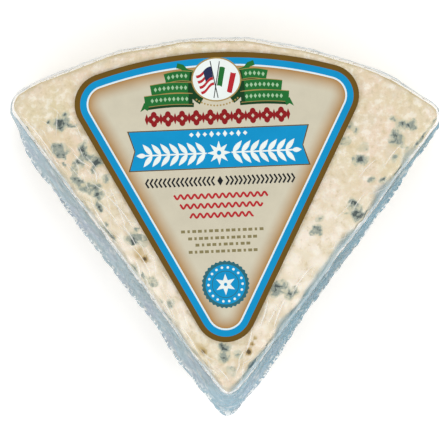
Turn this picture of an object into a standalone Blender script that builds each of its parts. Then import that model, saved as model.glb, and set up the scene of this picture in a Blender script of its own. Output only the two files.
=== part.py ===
"""A vacuum-packed wedge of blue-veined cheese, lying flat with its printed label up.

Three solids, in metres, +Z up:
  cheese_wedge  a fifth of a small wheel, out to the clear film that clings to it
  film_rim      the free edge of the film: a seal that stands out along the two cut
                sides and round the point, and is folded down against the rind
  label         the stiff printed label on the upper face

The wedge is modelled with its point at the plan origin and its rind towards +Y, and
the finished set is then moved so that the middle of its footprint is at the origin.
"""

import math

import bmesh
import bpy
from mathutils import Vector, noise

MM = 0.001

# The wedge: cut from a 31 mm slice of a small wheel, its point just short of the centre.
WHEEL_RADIUS = 118.4 * MM
WHEEL_CENTRE = Vector((-3 * MM, -12 * MM))
WEDGE_ANGLE = math.radians(73.6)
WEDGE_HEIGHT = 31 * MM
POINT_ROUND = 3.4 * MM
LEFT_CORNER_ROUND = 4.6 * MM
RIGHT_CORNER_ROUND = 4.6 * MM
TOP_ROUND = 3 * MM
BASE_ROUND = 2.2 * MM
WALL_BULGE = 0.5 * MM
OUTLINE_STEP = 3.1 * MM
ARC_STEPS = 6
CAP_RINGS = 8
CAP_MIDDLE = 0.55  # where the face's rings shrink to, as a share of the radius

# The rind begins, and is full, this far inside the wheel's radius.
RIND_BAND_START = 6 * MM
RIND_BAND_END = 1 * MM

# How uneven the rind, the crumbly cuts and the upper face are: depth, size of a lump.
RIND_LUMP_DEPTH = 0.9 * MM
RIND_LUMP_SIZE = 13 * MM
CUT_LUMP_DEPTH = 0.35 * MM
CUT_LUMP_SIZE = 9 * MM
FACE_LUMP_DEPTH = 0.3 * MM
FACE_LUMP_SIZE = 16 * MM

# The film's free edge: two webs of film sealed together.
RIM_HEIGHT = 14.5 * MM
RIM_THICKNESS = 0.35 * MM
RIM_WIDTH_LEFT = 4.1 * MM
RIM_WIDTH_RIGHT = 3.4 * MM
RIM_WIDTH_RIGHT_END = 1 * MM
RIM_WIDTH_POINT = 6.6 * MM
RIM_WIDTH_RIND = 4.8 * MM
RIM_WIDTH_CHANGE = 1.3 * MM
RIM_RIND_EVEN = 0.6  # how much less the width changes on the rind
RIM_WAVE_HEIGHT = 0.9 * MM
RIM_WAVE_SIZE = 17 * MM
RIM_FOLD_ANGLE = math.radians(82)
RIM_FOLD_RUN_LEFT = 28 * MM
RIM_FOLD_RUN_RIGHT = 10 * MM
RIM_ROWS = 3
RIM_CALM = 4 * MM  # the wall is even this close to the seal

# The label: a smaller wedge with a round point, a little turned on the face.
LABEL_REACH = 94.5 * MM
LABEL_ARC_RADIUS = 119 * MM
LABEL_ARC_CENTRE = Vector((0, LABEL_REACH - LABEL_ARC_RADIUS))
LABEL_ANGLE = math.radians(55.5)
LABEL_POINT_ROUND = 9 * MM
LABEL_CORNER_ROUND = 9 * MM
LABEL_THICKNESS = 0.3 * MM
LABEL_APEX = Vector((-0.2 * MM, 7.6 * MM))
LABEL_TURN = math.radians(2.4)
LABEL_RINGS = 7
LABEL_MIDDLE = 0.6  # where its rings shrink to, as a share of its length

GAP = 0.3 * MM  # kept between pieces that touch


def smoothstep(low, high, value):
    share = min(1.0, max(0.0, (value - low) / (high - low)))
    return share * share * (3 - 2 * share)


def lump(place, size, depth, layer):
    """Smooth unevenness between -depth and depth; each layer is its own pattern."""
    return depth * noise.noise(Vector(place) / size + Vector((0, 0, 7.3 * layer)))


def arc(centre, radius, start, end, steps):
    """Points with outward normals along an arc, its end left out."""
    found = []
    for k in range(steps):
        angle = start + (end - start) * k / steps
        normal = Vector((math.cos(angle), math.sin(angle)))
        found.append((centre + radius * normal, normal))
    return found


def rounded_sector(arc_centre, arc_radius, angle, point_round, left_round, right_round):
    """Outline of a wedge with round corners, its point towards -Y at the origin.

    It runs anticlockwise from the middle of the point, as (place, outward normal).
    """
    half = angle / 2
    up = math.pi / 2
    point_centre = Vector((0, point_round / math.sin(half)))
    side_start = point_round / math.tan(half)

    def corner(way, normal, corner_round):
        """Centre of the circle that meets side and arc, how far up the side, and its turn."""
        offset = arc_centre + corner_round * normal
        along = offset.dot(way)
        reach = (arc_radius - corner_round) ** 2
        run = along + math.sqrt(along**2 - offset.length_squared + reach)
        centre = run * way - corner_round * normal
        return centre, run, math.atan2(*(centre - arc_centre).yx)

    def side(way, normal, start, end):
        steps = round(abs(end - start) / OUTLINE_STEP)
        return [(way * (start + (end - start) * k / steps), normal) for k in range(steps)]

    right_way = Vector((math.sin(half), math.cos(half)))
    right_normal = Vector((math.cos(half), -math.sin(half)))
    left_way = Vector((-right_way.x, right_way.y))
    left_normal = Vector((-right_normal.x, right_normal.y))
    right_centre, right_run, right_turn = corner(right_way, right_normal, right_round)
    left_centre, left_run, left_turn = corner(left_way, left_normal, left_round)
    arc_steps = round(arc_radius * (left_turn - right_turn) / OUTLINE_STEP)

    outline = arc(point_centre, point_round, -up, -half, ARC_STEPS)
    outline += side(right_way, right_normal, side_start, right_run)
    outline += arc(right_centre, right_round, -half, right_turn, ARC_STEPS)
    outline += arc(arc_centre, arc_radius, right_turn, left_turn, arc_steps)
    outline += arc(left_centre, left_round, left_turn, math.pi + half, ARC_STEPS)
    outline += side(left_way, left_normal, left_run, side_start)
    outline += arc(point_centre, point_round, -math.pi + half, -up, ARC_STEPS)
    return outline


def from_wheel_centre(place):
    return (place - WHEEL_CENTRE).length


def on_rind(place):
    """1 on the rind, 0 on the cut sides, with a short change between them."""
    low, high = WHEEL_RADIUS - RIND_BAND_START, WHEEL_RADIUS - RIND_BAND_END
    return smoothstep(low, high, from_wheel_centre(place))


def wedge_outline():
    """The wedge's plan: cut sides nearly straight, the rind's rim knobbly."""
    outline = rounded_sector(
        WHEEL_CENTRE,
        WHEEL_RADIUS,
        WEDGE_ANGLE,
        POINT_ROUND,
        LEFT_CORNER_ROUND,
        RIGHT_CORNER_ROUND,
    )
    uneven = []
    for place, normal in outline:
        rind = on_rind(place)
        out = lump((*place, 0), RIND_LUMP_SIZE, RIND_LUMP_DEPTH * rind, layer=1)
        out += lump((*place, 0), CUT_LUMP_SIZE, CUT_LUMP_DEPTH * (1 - rind), layer=2)
        uneven.append((place + out * normal, normal))
    return uneven


def rim_height(place):
    """The level at which the two webs of film meet."""
    return RIM_HEIGHT + lump((*place, 0), RIM_WAVE_SIZE * 2, RIM_WAVE_HEIGHT, layer=3)


def face_height(place):
    """The wedge's upper face: nearly flat, with broad shallow dents."""
    return WEDGE_HEIGHT + lump((place.x, place.y, 0), FACE_LUMP_SIZE, FACE_LUMP_DEPTH, layer=4)


def wall_profile():
    """(inset from the outline, zone, how far up that zone) for each ring of the wall.

    The base zone counts up from the base and the top zone down from the face, in metres;
    the two between run from 0 to 1, up to the seal and on up to the face.
    """
    rings = []
    for k in range(ARC_STEPS // 2 + 1):
        angle = math.pi / 2 * k / (ARC_STEPS // 2)
        inset = BASE_ROUND * (1 - math.sin(angle))
        rings.append((inset, "base", BASE_ROUND * (1 - math.cos(angle))))
    for share in (0.3, 0.65, 1.0):
        rings.append((WALL_BULGE * (1 - share) ** 2, "below", share))
    for share in (0.3, 0.65):
        rings.append((WALL_BULGE * share**2, "above", share))
    for k in range(ARC_STEPS // 2 + 2):
        angle = math.pi / 2 * k / (ARC_STEPS // 2 + 1)
        inset = WALL_BULGE + TOP_ROUND * (1 - math.cos(angle))
        rings.append((inset, "top", TOP_ROUND * (1 - math.sin(angle))))
    return rings


def wall_point(place, normal, inset, zone, amount):
    """One point of the wall, below or above the level of the film's seal."""
    seam = rim_height(place)
    edge = place - inset * normal
    top = face_height(edge)
    if zone == "base":
        height = amount
        edge = edge - WALL_BULGE * normal
    elif zone == "below":
        height = BASE_ROUND + (seam - BASE_ROUND) * amount
    elif zone == "above":
        height = seam + (top - TOP_ROUND - seam) * amount
    else:
        height = top - amount
    calm = smoothstep(0, RIM_CALM, abs(height - seam)) * (0 if zone == "base" else 1)
    out = lump((*edge, height), CUT_LUMP_SIZE, CUT_LUMP_DEPTH * calm, layer=5)
    edge = edge + out * normal
    return Vector((edge.x, edge.y, height))


def ring_faces(bm, lower, upper):
    """Quads between two closed rings of vertices that have the same count."""
    count = len(lower)
    for k in range(count):
        bm.faces.new((lower[k], lower[(k + 1) % count], upper[(k + 1) % count], upper[k]))


def fan(bm, ring, centre, upward):
    for k, corner in enumerate(ring):
        following = ring[(k + 1) % len(ring)]
        bm.faces.new((corner, following, centre) if upward else (following, corner, centre))


def cap_rings(bm, ring, centre, rings, height):
    """Rings that shrink towards centre on a face whose height is a function of place."""
    start = [vertex.co.xy for vertex in ring]
    last = ring
    for k in range(1, rings):
        share = 1 - k / rings
        places = [centre + share * (place - centre) for place in start]
        following = [bm.verts.new((*place, height(place))) for place in places]
        yield last, following
        last = following
    yield last, bm.verts.new((*centre, height(centre)))


def cap(bm, ring, centre, rings, height, upward):
    for outer, inner in cap_rings(bm, ring, centre, rings, height):
        if isinstance(inner, list):
            ring_faces(bm, *((outer, inner) if upward else (inner, outer)))
        else:
            fan(bm, outer, inner, upward)


def finish(name, bm, material):
    """Turns a bmesh into a smooth-shaded object with its material."""
    mesh = bpy.data.meshes.new(name)
    bm.to_mesh(mesh)
    bm.free()
    mesh.materials.append(material)
    mesh.shade_smooth()
    mesh.set_sharp_from_angle(angle=math.radians(50))
    piece = bpy.data.objects.new(name, mesh)
    bpy.context.scene.collection.objects.link(piece)
    return piece


def make_material(name, colour, roughness, alpha=1.0):
    material = bpy.data.materials.new(name)
    material.use_nodes = True
    shader = material.node_tree.nodes["Principled BSDF"]
    shader.inputs["Base Color"].default_value = (*colour, 1)
    shader.inputs["Roughness"].default_value = roughness
    shader.inputs["Metallic"].default_value = 0
    shader.inputs["Alpha"].default_value = alpha
    return material


def make_cheese_wedge(outline):
    """The wedge with a flat base, rounded edges and a gently uneven upper face."""
    bm = bmesh.new()
    rings = []
    for inset, zone, amount in wall_profile():
        rings.append([bm.verts.new(wall_point(p, n, inset, zone, amount)) for p, n in outline])
    for lower, upper in zip(rings, rings[1:]):
        ring_faces(bm, lower, upper)
    middle = Vector((0, CAP_MIDDLE * WHEEL_RADIUS))
    cap(bm, rings[-1], middle, CAP_RINGS, face_height, upward=True)
    cap(bm, rings[0], middle, 2, lambda place: 0, upward=False)
    paste = make_material("cream paste", (0.77, 0.66, 0.49), 0.45)
    return finish("cheese_wedge", bm, paste)


def rim_width(place, normal):
    """How far the seal reaches out: to a blunt corner at the point, least up the right."""
    width = RIM_WIDTH_LEFT
    if place.x > 0:
        up_side = min(1.0, place.length / WHEEL_RADIUS)
        width = RIM_WIDTH_RIGHT + (RIM_WIDTH_RIGHT_END - RIM_WIDTH_RIGHT) * up_side
    rind = on_rind(place)
    width += (RIM_WIDTH_RIND - width) * rind
    change = RIM_WIDTH_CHANGE * (1 - RIM_RIND_EVEN * rind)
    width += lump((*place, 0), RIM_WAVE_SIZE, change, layer=6)
    if place.length < 2 * POINT_ROUND:
        past_side = math.asin(min(1.0, max(0.0, -normal.y))) - WEDGE_ANGLE / 2
        mitre = (width + POINT_ROUND) / math.cos(past_side) - POINT_ROUND
        width = min(mitre, RIM_WIDTH_POINT)
    return width


def rim_fold(place):
    """How far the seal is folded down: flat out on the cut sides, down on the rind."""
    run = RIM_FOLD_RUN_LEFT if place.x < 0 else RIM_FOLD_RUN_RIGHT
    full = WHEEL_RADIUS - RIND_BAND_END
    return RIM_FOLD_ANGLE * smoothstep(WHEEL_RADIUS - run, full, from_wheel_centre(place))


def make_film_rim(outline):
    """The sealed edge of the film, a thin strip swept round the whole wedge."""
    bm = bmesh.new()
    sections = []
    for place, normal in outline:
        fold, width = rim_fold(place), rim_width(place, normal)
        outward = Vector((normal.x * math.cos(fold), normal.y * math.cos(fold), -math.sin(fold)))
        across = Vector((normal.x * math.sin(fold), normal.y * math.sin(fold), math.cos(fold)))
        root_place = place + (GAP + RIM_THICKNESS * math.sin(fold)) * normal
        root = Vector((*root_place, rim_height(place)))
        lower, upper = [], []
        for k in range(RIM_ROWS + 1):
            share = k / RIM_ROWS
            wave = lump((*place, 0), RIM_WAVE_SIZE, RIM_WAVE_HEIGHT * share**2, layer=7)
            spine = root + outward * width * share + across * wave * (1 - fold / RIM_FOLD_ANGLE)
            lower.append(bm.verts.new(spine - across * RIM_THICKNESS / 2))
            upper.append(bm.verts.new(spine + across * RIM_THICKNESS / 2))
        sections.append(lower + upper[::-1])
    rails = list(zip(*sections))
    for rail, following in zip(rails, rails[1:] + rails[:1]):
        ring_faces(bm, rail, following)
    film = make_material("clear film", (0.55, 0.66, 0.72), 0.15, alpha=0.5)
    return finish("film_rim", bm, film)


def make_label():
    """The label: a thin sheet that lies on the wedge's face and follows its dents."""
    bm = bmesh.new()
    cosine, sine = math.cos(LABEL_TURN), math.sin(LABEL_TURN)
    outline = rounded_sector(
        LABEL_ARC_CENTRE,
        LABEL_ARC_RADIUS,
        LABEL_ANGLE,
        LABEL_POINT_ROUND,
        LABEL_CORNER_ROUND,
        LABEL_CORNER_ROUND,
    )

    def placed(place):
        turned = Vector((place.x * cosine - place.y * sine, place.x * sine + place.y * cosine))
        return turned + LABEL_APEX

    def underside(place):
        return face_height(place) + GAP

    def printed_side(place):
        return underside(place) + LABEL_THICKNESS

    places = [placed(place) for place, _ in outline]
    lower = [bm.verts.new((*place, underside(place))) for place in places]
    upper = [bm.verts.new((*place, printed_side(place))) for place in places]
    ring_faces(bm, lower, upper)
    middle = placed(Vector((0, LABEL_MIDDLE * LABEL_REACH)))
    cap(bm, upper, middle, LABEL_RINGS, printed_side, upward=True)
    cap(bm, lower, middle, LABEL_RINGS, underside, upward=False)
    paper = make_material("printed label paper", (0.66, 0.62, 0.5), 0.35)
    return finish("label", bm, paper)


def seat_on_origin(pieces):
    """Moves the set so that its box stands centred on the origin."""
    corners = [vertex.co for piece in pieces for vertex in piece.data.vertices]
    low = Vector(min(corner[k] for corner in corners) for k in range(3))
    high = Vector(max(corner[k] for corner in corners) for k in range(3))
    for piece in pieces:
        piece.location = (-(low.x + high.x) / 2, -(low.y + high.y) / 2, -low.z)


def main():
    for old in list(bpy.data.objects):
        bpy.data.objects.remove(old)
    outline = wedge_outline()
    seat_on_origin([make_cheese_wedge(outline), make_film_rim(outline), make_label()])


main()
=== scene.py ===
"""The looks of a vacuum-packed wedge of blue-veined cheese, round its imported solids.

Five pieces, in metres, +Z up:
  paste        the cheese, cream paste with mould veins, a little inside its solid
  film_skin    the clear film that clings to the paste
  film_folds   the fine creases in that film, where it lies double
  film_seal    the film's free edge, where its two webs are sealed together
  label_print  the printed label, its inks laid out in the label's own millimetres
"""

import math
import random

import bmesh
import bpy
import numpy as np
from mathutils import Matrix, Vector, noise
from mathutils.bvhtree import BVHTree
from mathutils.geometry import delaunay_2d_cdt


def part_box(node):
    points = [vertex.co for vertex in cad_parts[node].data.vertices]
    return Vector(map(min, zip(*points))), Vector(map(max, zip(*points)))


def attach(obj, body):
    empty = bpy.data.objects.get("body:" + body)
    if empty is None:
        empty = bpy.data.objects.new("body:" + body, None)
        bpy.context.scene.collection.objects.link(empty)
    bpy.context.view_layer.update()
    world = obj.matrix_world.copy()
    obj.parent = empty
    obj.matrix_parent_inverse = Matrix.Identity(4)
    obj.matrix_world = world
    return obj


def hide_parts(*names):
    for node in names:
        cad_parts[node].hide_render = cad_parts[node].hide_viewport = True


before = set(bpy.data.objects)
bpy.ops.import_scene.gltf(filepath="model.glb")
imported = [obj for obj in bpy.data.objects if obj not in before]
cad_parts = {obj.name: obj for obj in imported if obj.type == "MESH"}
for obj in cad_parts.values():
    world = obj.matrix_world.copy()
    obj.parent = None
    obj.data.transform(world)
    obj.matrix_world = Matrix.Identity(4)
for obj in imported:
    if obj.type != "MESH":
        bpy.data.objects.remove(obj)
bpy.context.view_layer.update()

MM = 0.001

# The wedge's plan, as its solids have it.
POINT_SETBACK = 2.28 * MM  # from where the cut sides would meet to the rounded point
WHEEL_RADIUS = 118.4 * MM
WHEEL_CENTRE = Vector((-3 * MM, -12 * MM))  # from where the cut sides would meet
WEDGE_ANGLE = math.radians(73.6)
SEAL_HEIGHT = 14.5 * MM

# The label's plan, as its solid has it, in millimetres from where its sides would meet.
LABEL_APEX = Vector((-0.2 * MM, 7.6 * MM))
LABEL_TURN = math.radians(2.4)
LABEL_ANGLE = math.radians(55.5)
LABEL_REACH = 94.5
LABEL_ARC_RADIUS = 119
LABEL_ROUND = 9

SMOOTH = {"interpolation_type": "SMOOTHSTEP"}


# ---------------------------------------------------------------- small helpers


def linear(hex_colour):
    """An sRGB hex colour as linear red, green, blue and 1."""
    parts = [int(hex_colour[k : k + 2], 16) / 255 for k in (1, 3, 5)]
    return (*[p / 12.92 if p <= 0.04045 else ((p + 0.055) / 1.055) ** 2.4 for p in parts], 1)


def per_size(size_mm):
    """The texture scale, in metres of Object coordinates, whose features are this size."""
    return 1 / (size_mm * MM)


def smoothstep(low, high, value):
    """0 at low and 1 at high, eased between; low may be the greater of the two."""
    share = np.clip((value - low) / (high - low), 0, 1)
    return share * share * (3 - 2 * share)


def add(tree, kind, settings, values):
    """Adds a node: settings are its properties, values its inputs, to link or to set."""
    node = tree.nodes.new(kind)
    for name, value in settings.items():
        setattr(node, name, value)
    for name, value in values.items():
        if isinstance(value, bpy.types.NodeSocket):
            tree.links.new(value, node.inputs[name])
        else:
            node.inputs[name].default_value = value
    return node


def new_material(name):
    """A material with only an output node; returns it with its tree and the output."""
    material = bpy.data.materials.new(name)
    material.use_nodes = True
    tree = material.node_tree
    tree.nodes.clear()
    return material, tree, add(tree, "ShaderNodeOutputMaterial", {}, {})


def new_piece(name, mesh):
    piece = bpy.data.objects.new(name, mesh)
    bpy.context.scene.collection.objects.link(piece)
    return piece


def plain_mesh(piece):
    """Turns a piece's modifiers into plain mesh, and removes them."""
    bpy.context.view_layer.update()
    graph = bpy.context.evaluated_depsgraph_get()
    mesh = bpy.data.meshes.new_from_object(
        piece.evaluated_get(graph), preserve_all_data_layers=True, depsgraph=graph
    )
    mesh.name = piece.name
    piece.modifiers.clear()
    old = piece.data
    piece.data = mesh
    bpy.data.meshes.remove(old)
    return piece


def merged_copy(name, node):
    """A new piece with a CAD node's mesh, its loose triangles joined up."""
    bm = bmesh.new()
    bm.from_mesh(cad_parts[node].data)
    bmesh.ops.remove_doubles(bm, verts=bm.verts, dist=0.01 * MM)
    mesh = bpy.data.meshes.new(name)
    bm.to_mesh(mesh)
    bm.free()
    return new_piece(name, mesh)


def remeshed_copy(name, node, voxel):
    piece = merged_copy(name, node)
    remesh = piece.modifiers.new("even mesh", "REMESH")
    remesh.mode = "VOXEL"
    remesh.voxel_size = voxel
    remesh.use_smooth_shade = True
    return plain_mesh(piece)


def places_and_normals(mesh):
    """A mesh's vertex places and normals, as two arrays of rows."""
    places = np.empty(len(mesh.vertices) * 3)
    mesh.vertices.foreach_get("co", places)
    normals = np.empty(len(mesh.vertices) * 3)
    mesh.vertex_normals.foreach_get("vector", normals)
    return places.reshape(-1, 3), normals.reshape(-1, 3)


def store(mesh, name, values):
    """Keeps one number for each vertex as a named attribute."""
    attribute = mesh.attributes.new(name, "FLOAT", "POINT")
    attribute.data.foreach_set("value", np.asarray(values, dtype=np.float32))


def new_tree(name, sizes):
    """A Geometry Nodes tree with one number input for each size, and a material input."""
    tree = bpy.data.node_groups.new(name, "GeometryNodeTree")
    tree.interface.new_socket("Geometry", in_out="INPUT", socket_type="NodeSocketGeometry")
    for size in sizes:
        tree.interface.new_socket(size, in_out="INPUT", socket_type="NodeSocketFloat")
    tree.interface.new_socket("Material", in_out="INPUT", socket_type="NodeSocketMaterial")
    tree.interface.new_socket("Geometry", in_out="OUTPUT", socket_type="NodeSocketGeometry")
    return tree, add(tree, "NodeGroupInput", {}, {}).outputs


def end_tree(tree, geometry, material):
    """Ends a tree in Realize Instances and Set Material."""
    real = add(tree, "GeometryNodeRealizeInstances", {}, {"Geometry": geometry}).outputs[0]
    painted = add(tree, "GeometryNodeSetMaterial", {}, {"Geometry": real, "Material": material})
    add(tree, "NodeGroupOutput", {}, {"Geometry": painted.outputs[0]})


def run_tree(piece, tree, values):
    """Runs a tree on a piece with its named inputs set, and keeps the result."""
    modifier = piece.modifiers.new(tree.name, "NODES")
    modifier.node_group = tree
    for item in tree.interface.items_tree:
        if item.in_out == "INPUT" and item.name in values:
            modifier[item.identifier] = values[item.name]
    return plain_mesh(piece)


def wedge_apex():
    """Where the wedge's two cut sides would meet, in plan, from its CAD solid."""
    point = min((v.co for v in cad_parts["cheese_wedge"].data.vertices), key=lambda co: co.y)
    return Vector((point.x, point.y - POINT_SETBACK))


APEX = wedge_apex()
FACE_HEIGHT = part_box("cheese_wedge")[1].z


# ---------------------------------------------------------------- where the mould grows

# Mould spots on the upper face: place from the apex, size and strength, in millimetres.
TOP_MOULD = (
    (-48.8, 81.4, 2.7, 1.0), (-47.5, 84.5, 1.4, 0.9), (-51.0, 81.8, 1.5, 0.6),
    (-49.3, 73.6, 3.2, 1.0), (-42.3, 74.5, 2.4, 1.0), (-41.8, 71.8, 2.4, 1.0),
    (-39.0, 71.0, 2.2, 0.9), (-37.5, 70.3, 1.5, 0.8), (-43.5, 69.8, 2.0, 0.9),
    (-38.5, 69.3, 1.8, 1.0), (-45.0, 67.4, 1.7, 0.7), (-44.0, 64.3, 2.0, 0.7),
    (-45.6, 63.4, 1.5, 0.9), (-43.4, 62.0, 1.7, 0.9), (-40.3, 62.4, 2.6, 0.7),
    (-38.4, 63.0, 1.8, 0.8), (-35.6, 65.6, 1.5, 0.8), (-38.0, 60.4, 1.6, 0.8),
    (-38.0, 57.4, 1.4, 1.0), (-35.6, 51.6, 1.3, 0.9), (-37.2, 49.0, 1.9, 0.8),
    (-27.0, 50.6, 1.3, 0.8), (-28.4, 48.0, 2.4, 0.9), (-25.4, 47.4, 2.2, 0.7),
    (-25.0, 35.6, 2.0, 0.9), (-22.6, 35.0, 2.0, 0.8), (-23.6, 30.4, 2.0, 0.7),
    (-17.0, 29.0, 1.7, 0.8), (-21.4, 28.4, 1.9, 0.7), (-19.0, 25.4, 1.5, 0.7),
    (50.0, 81.0, 2.4, 0.8), (53.0, 81.2, 1.9, 0.9), (47.4, 82.6, 1.7, 0.5),
    (48.0, 77.0, 2.6, 0.9), (50.2, 76.0, 1.7, 0.7), (36.6, 79.4, 1.7, 0.6),
    (34.8, 80.6, 1.5, 0.6), (33.6, 76.0, 1.7, 0.6), (39.0, 74.6, 2.0, 0.4),
    (37.5, 70.5, 2.3, 1.0), (39.6, 70.4, 1.5, 0.7), (48.4, 71.4, 1.3, 0.7),
    (41.4, 65.0, 1.6, 0.8), (44.4, 64.6, 1.4, 0.9), (36.0, 58.0, 2.0, 0.8),
    (37.4, 55.4, 3.0, 1.0), (39.0, 54.8, 1.7, 1.0), (26.0, 54.0, 1.8, 0.5),
    (25.0, 50.2, 2.0, 1.0), (13.6, 33.0, 2.6, 0.9), (16.4, 34.6, 2.0, 0.7),
    (17.0, 32.0, 2.0, 0.7), (19.6, 33.0, 1.4, 0.8), (-1.4, 16.4, 1.9, 0.8),
    (-1.4, 13.6, 2.2, 0.8), (0.6, 9.4, 2.2, 0.5), (2.6, 14.4, 2.0, 0.5),
)  # fmt: skip

# Thin cracks that mould follows: both ends from the apex, in millimetres.
TOP_CRACKS = (
    (-53.0, 81.9, -44.4, 80.6), (-45.9, 65.2, -42.4, 64.5), (-50.6, 70.8, -48.0, 69.0),
    (-48.5, 75.6, -46.9, 70.6), (-40.6, 70.9, -38.9, 66.9), (-38.9, 61.5, -37.6, 56.0),
    (-29.2, 50.4, -27.2, 46.2), (35.4, 59.4, 38.4, 53.4), (33.6, 55.6, 37.4, 55.0),
    (13.4, 34.4, 18.6, 31.4), (-1.9, 17.6, -0.9, 12.6), (48.0, 78.9, 51.4, 74.6),
    (46.6, 81.9, 54.6, 80.4), (24.0, 51.4, 26.6, 49.2), (-25.4, 37.0, -22.4, 34.0),
)  # fmt: skip
CRACK_GIRTH = 0.75  # in millimetres
CRACK_STRENGTH = 0.75

# Openings in the paste with a yellow-brown edge: place, size and depth, in millimetres.
TOP_OPENINGS = (
    (-24.4, 42.0, 1.3, 1.0), (-26.0, 43.8, 2.6, 0.4), (-28.6, 40.0, 1.1, 0.5),
    (-33.6, 48.8, 1.8, 0.4), (-7.7, 14.9, 1.7, 0.8), (-8.6, 16.2, 2.2, 0.35), (5.7, 15.2, 1.2, 1.0),
    (6.8, 17.2, 0.9, 0.8), (7.7, 19.3, 0.8, 0.7), (5.6, 9.8, 1.6, 0.4),
)  # fmt: skip

HIDDEN_MOULD_SEED = 11
WALL_MOULD_COUNT = 150
BASE_MOULD_COUNT = 80
MOULD_SIZES = (1.3 * MM, 3.6 * MM)
SWIRL_SIZE = 3.2 * MM
SWIRL_DEPTH = 1.3 * MM
SWIRL_SEED = 4


def from_apex(x_mm, y_mm, height):
    return Vector((APEX.x + x_mm * MM, APEX.y + y_mm * MM, height))


def grown(places, spots):
    """How far spots have grown over each place: 1 in a spot's middle, 0 past its size."""
    bare = np.ones(len(places))
    for centre, size, strength in spots:
        away = ((places - np.array(centre)) ** 2).sum(axis=1) / size**2
        bare *= 1 - strength * np.clip(1 - away, 0, 1)
    return 1 - bare


def hidden_spots(places, normals, rind):
    """Mould spots on the cut sides and the base, with none centred on the rind's wall."""
    chance = random.Random(HIDDEN_MOULD_SEED)
    walls = np.flatnonzero((np.abs(normals[:, 2]) < 0.3) & (rind < 0.5))
    base = np.flatnonzero(normals[:, 2] < -0.9)
    spots = []
    for rows, count in ((walls, WALL_MOULD_COUNT), (base, BASE_MOULD_COUNT)):
        for _ in range(count):
            centre = places[chance.choice(rows)]
            size = chance.uniform(*MOULD_SIZES)
            spots.append((centre, size, chance.uniform(0.5, 1)))
    return spots


def on_rind(places):
    """1 on the rind, 0 on the cuts."""
    centre = np.array(APEX + WHEEL_CENTRE)
    away = np.linalg.norm(places[:, :2] - centre, axis=1)
    return smoothstep(WHEEL_RADIUS - 5 * MM, WHEEL_RADIUS - 1 * MM, away)


# ---------------------------------------------------------------- paste

PASTE_VOXEL = 0.56 * MM
FILM_GAP = 0.18 * MM  # how far the paste lies inside its solid, for the film to go round it


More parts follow.
